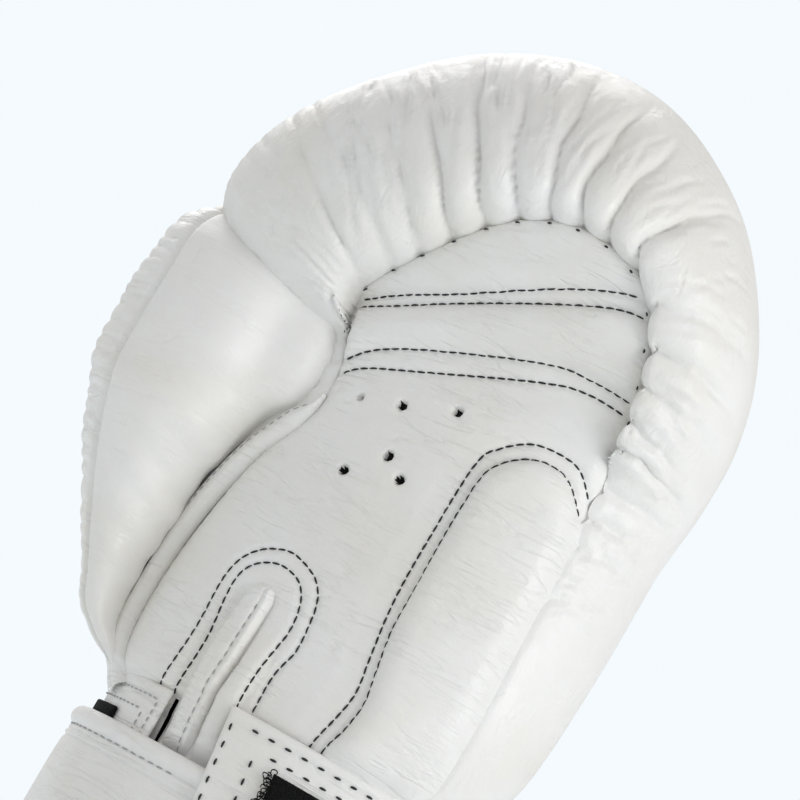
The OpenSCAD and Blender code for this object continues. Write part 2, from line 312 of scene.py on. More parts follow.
def crease_path(start_number, length, turn, lean_back, wobble, begin=0.0):
    """A line over the fist's form, outwards from a place on the palm's seam."""
    x, z = palm_outline[start_number]
    y = seam_form_y[start_number]
    ahead = palm_outline[min(start_number + 6, last_number)] - palm_outline[max(start_number - 6, 0)]
    ahead /= np.linalg.norm(ahead)
    outward = np.array([-ahead[1], ahead[0]])
    c, s = math.cos(turn), math.sin(turn)
    outward = np.array([outward[0] * c - outward[1] * s, outward[0] * s + outward[1] * c])
    path = []
    steps = max(4, int(length / 3))
    for k in range(steps + 1):
        d = begin + length * k / steps
        side = wobble * math.sin(k * 0.9 + start_number)
        q = np.array([x, y, z]) + np.array([outward[0], 0, outward[1]]) * d
        q = q + np.array([ahead[0], 0, ahead[1]]) * side
        q[1] += lean_back * d * d / 100
        direction = (Vector(q) - centre).normalized()
        hit = form.ray_cast(centre, direction)[0]
        if hit is None:
            break
        path.append(hit)
    return np.array(path)


def far_from_path(points, path, margin):
    """For points within margin of a path: their numbers, distances, and share along it."""
    low, high = path.min(0) - margin, path.max(0) + margin
    near = np.nonzero(((points > low) & (points < high)).all(1))[0]
    q = points[near]
    best = np.full(len(near), 1e9)
    along = np.zeros(len(near))
    for k, (a, b) in enumerate(zip(path, path[1:])):
        u = np.clip(((q - a) @ (b - a)) / max(((b - a) ** 2).sum(), 1e-9), 0, 1)
        far = np.linalg.norm(q - a - u[:, None] * (b - a), axis=1)
        closer = far < best
        best[closer], along[closer] = far[closer], (k + u[closer]) / (len(path) - 1)
    return near, best, along


relief = np.zeros(len(p))
z_of_seam = palm_outline[:, 1]
pleat_numbers = []
number = float(arch_start)
while number < arch_end:
    pleat_numbers.append(int(number))
    number += np.random.uniform(9.0, 11.8) / outline_step
for k, at in enumerate(pleat_numbers):
    length = np.random.uniform(42, 62) if k > 4 else np.random.uniform(30, 44)
    length *= 1.35 if palm_outline[at, 0] > 40 else 1
    path = crease_path(at, length, np.random.uniform(-0.12, 0.12), 1.0, 0.5)
    near, far, along = far_from_path(plain, path, 9)
    depth = np.random.uniform(2.2, 3.4) * (0.35 + 0.65 * smooth_step((palm_outline[at, 0] + 36) / 26))
    depth *= 0.35 + 0.65 * smooth_step((z_of_seam[at] - 150) / 45) if palm_outline[at, 0] > 30 else 1
    strength = depth * np.minimum(1, 0.55 + along * 3) * np.clip(1 - along, 0, 1) ** 0.8
    width_here = 0.95 + 0.7 * along
    relief[near] -= 1.25 * strength * np.exp(-(far / width_here) ** 1.1)
    relief[near] -= 0.5 * strength * np.exp(-(far / 3.6) ** 2)


def fine_creases(count, numbers, lengths, turns, lean_back, wobble, begins, depths, power):
    """Shallow creases over the fist, each with the leather raised a little beside it."""
    for _ in range(count):
        at = int(np.random.uniform(*numbers))
        path = crease_path(at, np.random.uniform(*lengths), np.random.uniform(*turns), lean_back, wobble,
                           begin=np.random.uniform(*begins))
        if len(path) < 3:
            continue
        near, far, along = far_from_path(plain, path, 4)
        strength = np.random.uniform(*depths) * np.sin(np.clip(along, 0, 1) * math.pi) ** power
        relief[near] -= strength * np.exp(-(far / 0.9) ** 1.4)
        relief[near] += 0.35 * strength * np.exp(-((far - 2) / 0.9) ** 2)


fine_creases(240, (arch_start, arch_end), (9, 30), (-0.35, 0.35), 1.0, 0.4, (4, 42), (0.25, 0.7), 0.7)
fine_creases(90, (arch_start - 45, arch_start + 20), (24, 58), (-0.9, 0.6), 0.4, 0.5, (3, 10), (0.15, 0.45),
             0.6)
p += fist_normals * np.where(apart > -1, relief, 0)[:, None]
kept = fist_keep[fist_faces].all(1)
fist = new_piece("fist_leather", p, fist_faces[kept])


# ---- White leather -------------------------------------------------------
# Full-grain leather with a soft satin finish: a pebbled grain, faint creases
# and a slight change of tone in random patches.
def new_finish(name):
    """A new material, its node tree, its shader and the Object coordinates."""
    finish = bpy.data.materials.new(name)
    finish.use_nodes = True
    tree = finish.node_tree
    return finish, tree, tree.nodes["Principled BSDF"], tree.nodes.new("ShaderNodeTexCoord").outputs["Object"]


def bumped(tree, height, strength, distance, normal=None):
    """The normal of a bump, laid over another normal if there is one."""
    made = tree.nodes.new("ShaderNodeBump")
    made.inputs["Strength"].default_value = strength
    made.inputs["Distance"].default_value = distance
    tree.links.new(height, made.inputs["Height"])
    if normal:
        tree.links.new(normal, made.inputs["Normal"])
    return made.outputs["Normal"]


def leather(name, stretch=(34, 34, 190), wrinkle=1.0, colour=(0.885, 0.88, 0.865), rough=0.36):
    """White leather. stretch sets which way the fine wrinkles run, wrinkle how deep they are."""
    finish, tree, shader, place = new_finish(name)

    def noise(scale, detail, rough_share, distortion, source):
        made = tree.nodes.new("ShaderNodeTexNoise")
        made.inputs["Scale"].default_value = scale
        made.inputs["Detail"].default_value = detail
        made.inputs["Roughness"].default_value = rough_share
        made.inputs["Distortion"].default_value = distortion
        tree.links.new(source, made.inputs["Vector"])
        return made.outputs["Fac"]

    def ranged(source, low, high, to_low, to_high):
        made = tree.nodes.new("ShaderNodeMapRange")
        made.interpolation_type = "SMOOTHSTEP"
        for socket, value in zip(("From Min", "From Max", "To Min", "To Max"), (low, high, to_low, to_high)):
            made.inputs[socket].default_value = value
        tree.links.new(source, made.inputs["Value"])
        return made.outputs["Result"]

    def maths(operation, first, second):
        made = tree.nodes.new("ShaderNodeMath")
        made.operation = operation
        for socket, value in zip(made.inputs, (first, second)):
            if isinstance(value, (int, float)):
                socket.default_value = value
            else:
                tree.links.new(value, socket)
        return made.outputs["Value"]

    mapping = tree.nodes.new("ShaderNodeMapping")
    mapping.inputs["Scale"].default_value = stretch
    mapping.inputs["Rotation"].default_value = (0.1, 0.22, 0)
    tree.links.new(place, mapping.inputs["Vector"])
    lines = noise(1.0, 3, 0.5, 0.6, mapping.outputs["Vector"])
    ridge = maths("ABSOLUTE", maths("SUBTRACT", lines, 0.5), 0)
    groove = ranged(ridge, 0.0, 0.075, 0.0, 1.0)
    patches = ranged(noise(38, 2, 0.5, 0.4, place), 0.36, 0.6, 0.0, 1.0)
    creased = maths("MULTIPLY", maths("SUBTRACT", groove, 1.0), patches)
    pebble = tree.nodes.new("ShaderNodeTexVoronoi")
    pebble.inputs["Scale"].default_value = 1100
    tree.links.new(place, pebble.inputs["Vector"])
    normal = bumped(tree, pebble.outputs["Distance"], 0.12, 0.0005)
    normal = bumped(tree, noise(320, 4, 0.6, 0.3, place), 0.16, 0.0007, normal)
    normal = bumped(tree, noise(2.2, 4, 0.6, 1.0, mapping.outputs["Vector"]), 0.28, 0.0011, normal)
    normal = bumped(tree, creased, 0.4 * wrinkle, 0.0009, normal)
    normal = bumped(tree, noise(26, 3, 0.5, 0.6, place), 0.4, 0.003, normal)
    tree.links.new(normal, shader.inputs["Normal"])
    mix = tree.nodes.new("ShaderNodeMix")
    mix.data_type = "RGBA"
    mix.inputs["A"].default_value = (*colour, 1)
    mix.inputs["B"].default_value = (colour[0] * 0.965, colour[1] * 0.955, colour[2] * 0.925, 1)
    tree.links.new(ranged(noise(24, 3, 0.5, 0.2, place), 0.38, 0.68, 0.0, 1.0), mix.inputs["Factor"])
    tree.links.new(mix.outputs["Result"], shader.inputs["Base Color"])
    tree.links.new(ranged(noise(140, 3, 0.5, 0.0, place), 0.35, 0.65, rough - 0.05, rough + 0.09),
                   shader.inputs["Roughness"])
    shader.inputs["Specular IOR Level"].default_value = 0.5
    shader.inputs["Subsurface Weight"].default_value = 0.06
    shader.inputs["Subsurface Radius"].default_value = (0.0016, 0.0012, 0.0009)
    shader.inputs["Subsurface Scale"].default_value = 1.0
    return finish


white_leather = leather("white_leather")
roll_leather = leather("roll_leather", (95, 85, 45), 0.5)
smooth_leather = leather("smooth_leather", (30, 30, 120), 0.5)
fist.data.materials.append(roll_leather)
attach(fist, "glove")
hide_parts("fist_shell", "foam_outer", "foam_inner")


# ---- Palm panel ----------------------------------------------------------
# One piece of leather, stitched in double rows over the grip bar, the pad of
# the palm's heel and the end of the wrist slit, with six punched vent holes,
# sunk in and darkened with painted shade.
def path_field(x, z, path):
    """Distance from a path in the palm's plane."""
    q = np.stack([x, z], 1)
    best = np.full(len(x), 1e9)
    for a, b in zip(path, path[1:]):
        u = np.clip(((q - a) @ (b - a)) / max(((b - a) ** 2).sum(), 1e-9), 0, 1)
        best = np.minimum(best, np.linalg.norm(q - a - u[:, None] * (b - a), axis=1))
    return best


def in_shape(x, z, corners):
    """Which points lie in a closed shape in the palm's plane."""
    inside = np.zeros(len(x), bool)
    for (ax, az), (bx, bz) in zip(corners, np.roll(corners, -1, axis=0)):
        crosses = (az > z) != (bz > z)
        inside ^= crosses & (x < (bx - ax) * (z - az) / np.where(bz == az, 1e-9, bz - az) + ax)
    return inside


def row_path(points):
    curve = through(points, 12)
    length = np.linalg.norm(np.diff(curve, axis=0), axis=1).sum()
    return evenly(curve, int(length / 1.5) + 2)


stitch_rows = {
    "grip_top": [(-38, 208.5), (-24, 214.5), (-7, 221), (24, 235), (43, 242), (53, 243)],
    "grip_upper": [(-38, 206), (-24, 211), (-7, 218), (23, 230), (42, 237), (55, 239)],
    "grip_lower": [(-35, 188.5), (-26, 195.5), (-9, 202.5), (27, 214), (41, 216), (57, 216)],
    "grip_bottom": [(-34, 184), (-26, 189), (-9, 195), (26, 208), (41, 212), (57, 212)],
    "heel_outer": [(56, 184), (50, 191), (43, 192.5), (34, 191), (26, 185), (21.5, 177), (20, 149),
                   (20, 128), (22, 110), (23.5, 98), (22, 89), (19, 78), (16, 60), (15, 6)],
    "heel_inner": [(56, 178), (49, 186), (42.5, 188), (35, 186), (28, 180), (25, 172), (24, 149),
                   (24, 122), (26, 107), (27.5, 96), (26, 86), (23, 77), (20, 60), (19, 6)],
    "slit_outer": [(-37, 64), (-36, 73), (-33.5, 92), (-33.5, 110), (-31, 118.5), (-25, 124), (-17, 126.5),
                   (-10, 125), (-4.5, 122), (-1, 117), (0.5, 110), (1, 100), (-1.5, 91), (-2, 79), (-2, 66)],
    "slit_inner": [(-31, 64), (-30, 73), (-28.5, 92), (-29.5, 109), (-28, 115.5), (-24, 119.5), (-18, 121.5),
                   (-11.5, 120.5), (-7.5, 117.5), (-5, 112.5), (-4, 105), (-5, 98), (-6, 91), (-7, 79),
                   (-7, 66)],
}
stitch_rows = {name: row_path(points) for name, points in stitch_rows.items()}
vent_holes = [(-8, 183), (9, 189), (-4, 167), (3, 162), (-15, 157), (-22, 180)]
vent_r = 1.4
heel_shape = np.vstack([stitch_rows["heel_inner"], [(60, 6), (62, 178)]])


def leaf_edges(z):
    """x of the left edge and of the right-hand seam of the leaf beside the wrist slit."""
    return (np.interp(z, [8, 60, 80, 95, 107, 112, 114, 115],
                      [-26, -26.3, -26.6, -26.0, -24.2, -22.2, -20.2, -17.6]),
            np.interp(z, [8, 58, 77, 89, 103, 110, 113.5, 115],
                      [-15.2, -15.2, -15.8, -14.0, -13.4, -13.2, -14.6, -17.0]))


def palm_relief(x, z):
    """How far the palm's leather stands out from its plain surface."""
    height = np.zeros(len(x))
    upper, lower = path_field(x, z, stitch_rows["grip_upper"]), path_field(x, z, stitch_rows["grip_lower"])
    between = in_shape(x, z, np.vstack([stitch_rows["grip_upper"], stitch_rows["grip_lower"][::-1]]))
    level = np.clip(np.minimum(upper, lower) / 8.0, 0, 1)
    height += np.where(between, 4.6 * (1 - (1 - level) ** 2) ** 0.75, 0)
    line_z = np.interp(x, stitch_rows["grip_top"][:, 0], stitch_rows["grip_top"][:, 1])
    puff = np.clip((z - line_z) / 7, 0, 1)
    height += 3.4 * (1 - (1 - puff) ** 2) ** 0.8
    heel = in_shape(x, z, heel_shape)
    inner = path_field(x, z, stitch_rows["heel_inner"])
    level = np.clip(inner / 9, 0, 1)
    height += np.where(heel, 5.2 * np.sqrt(1 - (1 - level) ** 2), 0) * smooth_step((z - 70) / 13)
    for row in stitch_rows.values():
        far = path_field(x, z, row)
        height -= 0.75 * np.exp(-(far / 1.1) ** 2)
    low_z = np.interp(x, stitch_rows["grip_bottom"][:, 0], stitch_rows["grip_bottom"][:, 1])
    below = np.clip((low_z - z) / 10, 0, 1)
    open_palm = (~heel) & (z < low_z)
    outer = path_field(x, z, stitch_rows["heel_outer"])
    height += np.where(open_palm, 1.0 * np.minimum(below, np.clip(outer / 8, 0, 1)), 0)
    leaf_left, leaf_seam = leaf_edges(z)
    beside_leaf = smooth_step((115 - z) / 8)
    height -= 2.6 * np.exp(-((x - leaf_left + 0.4) / 2.2) ** 2) * beside_leaf
    puffy = np.clip((x - leaf_seam) / 9.5, 0, 1)
    height += 2.6 * np.sqrt(np.maximum(0, 4 * puffy * (1 - puffy))) * smooth_step((106 - z) / 22)
    height -= 1.6 * np.exp(-((x - leaf_seam) / 0.9) ** 2) * beside_leaf
    _, signed = from_outline(x, z)
    height -= 1.6 * np.exp(-(np.minimum(signed, 0) / 2.2) ** 2)
    holes = np.zeros(len(x))
    for hx, hz in vent_holes:
        r = vent_r if (hx, hz) != vent_holes[-1] else 0.8
        far = np.hypot(x - hx, z - hz)
        holes = np.maximum(holes, smooth_step((r + 0.45 - far) / 0.7))
        height -= 0.35 * np.exp(-(far / 3.2) ** 2)
    return height * smooth_step((z - 54) / 9) - 3.5 * holes, holes


step = 0.72
xs = np.arange(-64, 62, step)
zs = np.arange(5, 256, step)
grid_x, grid_z = (v.ravel() for v in np.meshgrid(xs, zs))
number, signed = from_outline(grid_x, grid_z)
grid_height, holes = palm_relief(grid_x, grid_z)
behind = np.where(palm_outline[:, 0] > 0, np.maximum(seam_form_y - seam_palm_y, 0), 0)
behind = np.convolve(np.pad(behind, 12, "edge"), np.ones(25) / 25, "valid")
grid_y = palm_y(grid_x, grid_z) - grid_height + 2.3 * np.maximum(signed, 0) + tuck(grid_x, grid_z)
grid_y += behind[number] * np.exp(-(np.minimum(signed, 0) / 13) ** 2)
palm_points = np.stack([grid_x, grid_y, grid_z], 1)
palm_faces = grid_faces(len(zs), len(xs), False)
slit_left, slit_right = -29.3, -28.4
in_slit = (grid_x > slit_left) & (grid_x < slit_right) & (grid_z < 70.5)
kept = (signed < 3.0)[palm_faces].all(1) & ~in_slit[palm_faces].any(1)
palm = new_piece("palm_leather", palm_points, palm_faces[kept], white_leather)
# The vent holes are dimples, not cut through. Faces deep in them get a near-black finish: painted shade of
# the dark inside, over the black lining.
vent_hole_shade = bpy.data.materials.new("vent_hole_shade")
vent_hole_shade.use_nodes = True
vent_hole_shade.node_tree.nodes["Principled BSDF"].inputs["Base Color"].default_value = (0.004, 0.004, 0.004, 1)
vent_hole_shade.node_tree.nodes["Principled BSDF"].inputs["Roughness"].default_value = 0.9
palm.data.materials.append(vent_hole_shade)
deep = (holes > 0.42)[palm_faces[kept]].sum(1) >= 3
palm.data.polygons.foreach_set("material_index", deep.astype(int).tolist())
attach(palm, "glove")
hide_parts("palm_panel", "grip_bar", "heel_pad", "palm_foam")


# ---- Thumb ---------------------------------------------------------------
# Three leather panels over foam: a broad smooth front, a narrow gathered strip
# round the outer edge, and a plain back. They meet in seams turned inwards.
# height, middle x, reach outwards and inwards, middle y, reach to back and front
thumb_rows = [
    (70.5, -56, 0.5, 0.5, -24, 0.5, 0.5), (71, -57, 2.5, 2, -24, 5, 5), (74, -60, 5.5, 4, -25, 10, 9),
    (78, -64, 7.5, 4.5, -26, 13, 11.5), (84, -69, 8.5, 5.5, -27.5, 16, 13.5),
    (94, -72, 10, 7, -29, 20, 16), (108, -75, 15, 11, -31, 24, 20), (131, -80, 22.5, 18.5, -33, 27, 25),
    (150, -81, 29.5, 25, -35.5, 29, 28.5), (160, -80, 33, 31, -36, 29, 29), (171, -79, 34.5, 40, -37, 29, 29),
    (189, -79, 33.5, 41, -38, 28, 28.5), (201, -82, 29.5, 42, -38, 24, 25.5), (209, -85, 24, 38, -38, 19, 19),
    (216, -88, 15.5, 28, -38, 11, 10.5), (220, -90, 8, 14, -38, 5, 5), (221, -90, 1, 2, -38, 1, 1),
]
thumb_curve = evenly(through(thumb_rows, 24), 210)
strip_turn = (math.radians(174), math.radians(241))
front_turn = (math.radians(241), math.radians(362))
back_turn = (math.radians(2), math.radians(174))


def thumb_panel(name, turn, columns, relief_of, seams):
    """A panel of the thumb between two turns about its middle, its edges rolled into the seams."""
    turns = np.linspace(turn[0], turn[1], columns)
    points = []
    for z, mid_x, outer, inner, mid_y, back, front in thumb_curve:
        x, y = section(mid_x, mid_y, (inner, outer, back, front), turns)
        points.append(np.stack([x, y, np.full_like(x, z)], 1))
    points = np.array(points)
    faces = grid_faces(len(thumb_curve), columns, False)
    normal = normals_of(points, faces).reshape(points.shape)
    if (normal[:, :, 0] * (points[:, :, 0] + 78)).sum() < 0:
        faces, normal = faces[:, ::-1], -normal
    steps = np.linalg.norm(np.diff(points, axis=1), axis=2)
    reach = np.concatenate([np.zeros((len(points), 1)), np.cumsum(steps, 1)], 1)
    both = ((reach, seams[0]), (reach[:, -1:] - reach, seams[1]))
    edges = [distance for distance, is_seam in both if is_seam]
    nearest = np.minimum(*edges) if len(edges) > 1 else edges[0]
    height = relief_of(points, reach) * (1 - np.exp(-(nearest / 2) ** 2))
    middle = np.array([(row[1], row[4], row[0]) for row in thumb_curve])[:, None, :]
    inward = middle - points
    inward /= np.maximum(np.linalg.norm(inward, axis=2, keepdims=True), 1e-6)
    sunk = 2.1 * np.exp(-(nearest / 1.2) ** 2)
    points = points + normal * height[:, :, None] + inward * sunk[:, :, None]
    return new_piece(name, points, faces, white_leather)


def thumb_front_relief(points, reach):
    """Slack folds across the panel, and the dip where it turns in to the palm."""
    x, z = points[:, :, 0], points[:, :, 2]
    waves = 0.9 * np.sin(z / 4.6 + 1.3 * np.sin(x / 17)) * np.exp(-((z - 150) / 38) ** 2)
    waves += 0.35 * np.sin(z / 1.9 + x / 9 + 2 * np.sin(x / 11)) * np.exp(-((z - 118) / 26) ** 2)
    dish = -7 * np.exp(-((x + 52) / 11) ** 2 - ((z - 181) / 24) ** 2)
    return waves * smooth_step(reach / 10) + dish


def thumb_strip_relief(points, reach):
    """Gathers across the strip."""
    z = points[:, :, 2]
    share = reach / np.maximum(reach[:, -1:], 1e-6)
    phase = z / 0.78 + 2.2 * share + 1.4 * np.sin(z / 7.3) + 0.9 * np.sin(z / 2.9 + 3 * share)
    return (1.0 * (np.abs(np.sin(phase / 2)) ** 0.6 - 0.6) * np.clip((z - 84) / 30, 0.4, 1)
            + 0.35 * np.sin(z / 4.1 + 1.1) * np.clip((z - 100) / 30, 0, 1))


def thumb_back_relief(points, reach):
    """A faint unevenness."""
    return 0.3 * np.sin(points[:, :, 2] / 9 + points[:, :, 1] / 12)


thumb_front = thumb_panel("thumb_front_leather", front_turn, 120, thumb_front_relief, (True, False))
thumb_strip = thumb_panel("thumb_edge_leather", strip_turn, 60, thumb_strip_relief, (True, True))
thumb_back = thumb_panel("thumb_back_leather", back_turn, 70, thumb_back_relief, (False, True))
thumb_front.data.materials[0] = thumb_back.data.materials[0] = smooth_leather
for panel, node in ((thumb_front, "thumb_front"), (thumb_strip, "thumb_edge_strip"),
                    (thumb_back, "thumb_back")):
    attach(panel, "thumb")
    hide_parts(node)
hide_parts("thumb_foam", "thumb_lining")


# ---- Bands, tapes and the strap ------------------------------------------
# Everything round the cuff is a flat strip that follows the cuff's oval. Each
# is swept round it with its own thickness, height and rounded edges.
cuff_low, cuff_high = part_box("cuff_foam")
half_w = (cuff_high.x - cuff_low.x) / 2 / MM - 1.8
half_d = (cuff_high.y - cuff_low.y) / 2 / MM + 0.2


def cuff_point(grow, turn, z=78):
    """x and y at a turn in degrees about the cuff's axis, grow out from its foam. Its end is cut aslant."""
    c, s = np.cos(np.radians(turn)), np.sin(np.radians(turn))
    slant = 0.12 * np.maximum(78 - np.asarray(z), 0) * smooth_step((-50 - turn) / 35)
    return signed_power(c, 0.9) * (half_w + grow) + slant, signed_power(s, 0.9) * (half_d + grow)


def swept_strip(name, turns, profile, material, rounded_ends=2.0):
    """A strip round the cuff. profile(turn) gives its section as (grow, z) points, going round."""
    steps = [math.dist(cuff_point(0, a), cuff_point(0, b)) for a, b in zip(turns, turns[1:])]
    length = np.r_[0, np.cumsum(steps)]
    rings = []
    for turn, at in zip(turns, length):
        ring = np.array(profile(turn), float)
        end = min(at, length[-1] - at)
        if end < rounded_ends:
            pinch = math.sqrt(max(1 - (1 - end / rounded_ends) ** 2, 0.0004))
            middle = (ring[:, 0].max() + ring[:, 0].min()) / 2
            ring[:, 0] = middle + (ring[:, 0] - middle) * pinch
        x, y = cuff_point(ring[:, 0], turn, ring[:, 1])
        rings.append(np.stack([x, y, ring[:, 1]], 1))
    rings = np.array(rings)
    count = rings.shape[1]
    faces = grid_faces(len(rings), count, True)
    piece = new_piece(name, rings, faces, material)
    mesh = piece.data
    work = bmesh.new()
    work.from_mesh(mesh)
    work.verts.ensure_lookup_table()
    for k in (0, len(rings) - 1):
        work.faces.new([work.verts[k * count + i] for i in range(count)])
    bmesh.ops.triangulate(work, faces=[f for f in work.faces if len(f.verts) > 4])
    bmesh.ops.recalc_face_normals(work, faces=work.faces)
    work.to_mesh(mesh)
    work.free()
    mesh.polygons.foreach_set("use_smooth", [True] * len(mesh.polygons))
    return piece


def quarter(centre_g, centre_z, r, start):
    """Four points round a quarter of a circle."""
    turns = [math.radians(start + a) for a in (0, 30, 60, 90)]
    return [(centre_g + r * math.cos(a), centre_z + r * math.sin(a)) for a in turns]


def rounded(low, high, z0, z1, r=0.9, crown=0.0, rows=24):
    """A strip's section: flat inside, slightly crowned outside, with rounded edges."""
    r = min(r, (high - low) / 2)
    ring = quarter(low + r, z0 + r, r, 180) + quarter(high - r, z0 + r, r, 270)
    for k in range(1, rows):
        u = k / rows
        ring.append((high + crown * 4 * u * (1 - u), z0 + r + (z1 - z0 - 2 * r) * u))
    return ring + quarter(high - r, z1 - r, r, 0) + quarter(low + r, z1 - r, r, 90)


band_turns = np.r_[np.arange(-95, -88, 0.5), np.arange(-88, 236, 2.0), np.arange(236, 243.1, 0.5)]


def band_top(turn):
    return 76.4 - 4.4 * smooth_step((turn - 90) / 130)


def band_lift(turn):
    return 5.2 * max(0.0, 1 - (turn + 95) / 60) ** 1.5


def band_profile(turn):
    """The band's section: flat, with its upper edge turned over into a soft roll."""
    up, top = band_lift(turn), band_top(turn)
    ring = [(0.2 + up, top - 1), (0.2 + up, 6), (1.0 + up, 5.3), (2.2 + up, 5.6), (2.5 + up, 6.6)]
    ring += [(2.5 + up + 0.15 * math.sin(k * 1.9 + turn / 23), 6.6 + (top - 12.1) * k / 24)
             for k in range(1, 24)]
    ring += [(2.45 + up, top - 5.3), (2.2 + up, top - 4.7), (2.35 + up, top - 4.1), (2.85 + up, top - 3.2),
             (3.1 + up, top - 2.2), (2.95 + up, top - 1.1), (2.4 + up, top - 0.3), (1.5 + up, top),
             (0.7 + up, top - 0.3)]
    return ring


cuff_band = swept_strip("cuff_band_leather", band_turns, band_profile, white_leather)
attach(cuff_band, "glove")
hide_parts("cuff_band", "cuff_foam")


# ---- Rim binding ---------------------------------------------------------
# A folded strip of leather over the raw edges of band, foam and lining.
rim = swept_strip("rim_binding_leather", np.arange(-112, 243.1, 2.5),
                  lambda turn: rounded(-6.4, 2.3, 0.0, 6.2, 2.6, 0.0, 4), white_leather)
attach(rim, "glove")
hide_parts("rim_binding")


# ---- Loop tape -----------------------------------------------------------
# The soft half of the closure: one long black tape of brushed loops sewn
# round the outer band. It frays into single curls at its cut ends.
def fuzzy(name, colour, scale, depth, rough=0.95):
    finish, tree, shader, place = new_finish(name)
    curls = tree.nodes.new("ShaderNodeTexVoronoi")
    curls.inputs["Scale"].default_value = scale
    tree.links.new(place, curls.inputs["Vector"])
    tree.links.new(bumped(tree, curls.outputs["Distance"], 0.9, depth), shader.inputs["Normal"])
    ramp = tree.nodes.new("ShaderNodeValToRGB")
    ramp.color_ramp.elements[0].color = (*[c * 0.4 for c in colour], 1)
    ramp.color_ramp.elements[1].color = (*[min(1, c * 1.8) for c in colour], 1)
    tree.links.new(curls.outputs["Distance"], ramp.inputs["Fac"])
    tree.links.new(ramp.outputs["Color"], shader.inputs["Base Color"])
    shader.inputs["Roughness"].default_value = rough
    shader.inputs["Sheen Weight"].default_value = 0.03
    shader.inputs["Specular IOR Level"].default_value = 0.2
    return finish


loop_black = fuzzy("loop_black", (0.004, 0.004, 0.0045), 1300, 0.0008)
tape_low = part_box("loop_tape")[0].z / MM


def tape_profile(turn):
    up = band_lift(turn)
    return rounded(2.7 + up, 4.3 + up, tape_low, band_top(turn) - 12.3, 0.7, 0.0)


tape = swept_strip("loop_tape_fabric", np.r_[np.arange(-80, -70, 0.6), np.arange(-70, 219, 2.5),
                                              np.arange(219, 225, 0.6)], tape_profile, loop_black, 0.8)
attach(tape, "glove")
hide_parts("loop_tape")


# ---- Strap ---------------------------------------------------------------
# The wrist strap: leather over a thin pad, its upper edge rolled over and
# stitched, with a fine cord line below. It is sewn in under the flap's end.
strap_low, strap_high = (corner.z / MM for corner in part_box("strap_outer"))
strap_turns = np.r_[np.arange(102, 108, 0.6), np.arange(108, 262, 1.5), np.arange(262, 272, 0.6)]


def strap_face(turn):
    return 8.3 - 2.9 * smooth_step((turn - 215) / 50)


def strap_profile(turn):
    """The strap's section, thinner towards its root under the flap."""
    thin = smooth_step((turn - 215) / 50)
    low = 4.4 - 2.0 * thin
    high = strap_face(turn)
    z0, z1 = strap_low, strap_high - 2.4
    ring = [(low, z1 - 1.0), (low, z0 + 1.0), (low + 0.6, z0 + 0.2), ((low + high) / 2, z0 - 0.1),
            (high - 0.6, z0 + 0.3), (high - 0.1, z0 + 1.2)]
    for k in range(1, 40):
        u = k / 40
        z = z0 + 1.2 + (z1 - 10.6 - z0 - 1.2) * u
        ring.append((high + 0.7 * math.sqrt(max(0, 1 - (2 * u - 1) ** 4)) - 0.5, z))
    ring += [(high - 0.75, z1 - 10.5), (high - 0.35, z1 - 10.1), (high + 0.05, z1 - 9.5),
             (high - 0.3, z1 - 8.9), (high - 0.6, z1 - 8.5), (high - 0.35, z1 - 7.9),
             (high - 0.4, z1 - 7.2), (high - 1.0, z1 - 6.6),
             (high - 0.1, z1 - 5.9), (high + 0.7, z1 - 4.8), (high + 1.0, z1 - 3.5), (high + 0.75, z1 - 2.2),
             (high + 0.05, z1 - 1.0), (high - 1.0, z1 - 0.2), (high - 2.0, z1), (low + 0.5, z1 - 0.3)]
    return ring


strap = swept_strip("strap_leather", strap_turns, strap_profile, white_leather, 2.5)
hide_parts("strap_outer", "strap_padding", "strap_inner", "strap_cord", "strap_root")
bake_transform(strap)


# ---- Hook patch ----------------------------------------------------------
# The stiff half of the closure, sewn to the inner face of the strap's free end.
hook_black = fuzzy("hook_black", (0.01, 0.01, 0.01), 900, 0.0009, 0.5)
hook = swept_strip("hook_patch_plastic", np.r_[np.arange(104, 108, 0.6), np.arange(108, 161, 2.5),
                                               np.arange(161, 165.1, 0.6)],
                   lambda turn: rounded(3.3, 4.6, strap_low + 3, strap_high - 6.5, 0.6, 0.0), hook_black, 0.8)
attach(hook, "strap")
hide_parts("hook_patch")


# ---- Slit binding --------------------------------------------------------
# A padded leaf of leather sewn along the wrist slit, wider towards the cuff,
# with its own row of stitches and a raised seam line on its right side.
palm_tree = BVHTree.FromPolygons(palm_points.tolist(), palm_faces[(signed < 3.0)[palm_faces].all(1)].tolist())


def palm_hit(x, z):
    """The palm leather's face at x and z, and its outward direction."""
    hit, normal, _, _ = palm_tree.ray_cast(Vector((x, -300, z)), Vector((0, 1, 0)))
    if hit is None:
        return None
    return np.array(hit), np.array(normal) * (-1 if normal.y > 0 else 1)


def palm_front(x, z):
    """y of the palm leather's face at arrays of x and z."""
    found = [palm_hit(a, b) for a, b in zip(x, z)]
    return np.array([f[0][1] if f else palm_y(np.array([a]), np.array([b]))[0]
                     for f, a, b in zip(found, x, z)])


leaf_rows = []
leaf_z = np.linspace(115.0, 8, 150)
for z in leaf_z:
    left, seam = leaf_edges(z)
    u = np.linspace(0, 1, 40)
    x = left + (seam - left) * u
    tall = smooth_step((115.3 - z) / 4) * smooth_step((z - 52) / 10)
    rise = 6.4 * np.sqrt(np.maximum(0, 1 - (2 * u - 1) ** 2)) ** 0.75
    rise = rise - 0.7 * np.exp(-((u - 0.68) / 0.05) ** 2)
    rise += 0.7 * np.exp(-((u - 0.84) / 0.08) ** 2) + 0.2 * math.sin(z / 2.3) * np.sin(u * 5)
    base = palm_front(x, np.full_like(x, z))
    base = base[0] + (base[-1] - base[0]) * u + 1.3
    leaf_rows.append(np.stack([x, base - rise * tall, np.full_like(x, z)], 1))
leaf_rows = np.array(leaf_rows)
leaf = new_piece("slit_binding_leather", leaf_rows, grid_faces(len(leaf_z), 40, False), white_leather)
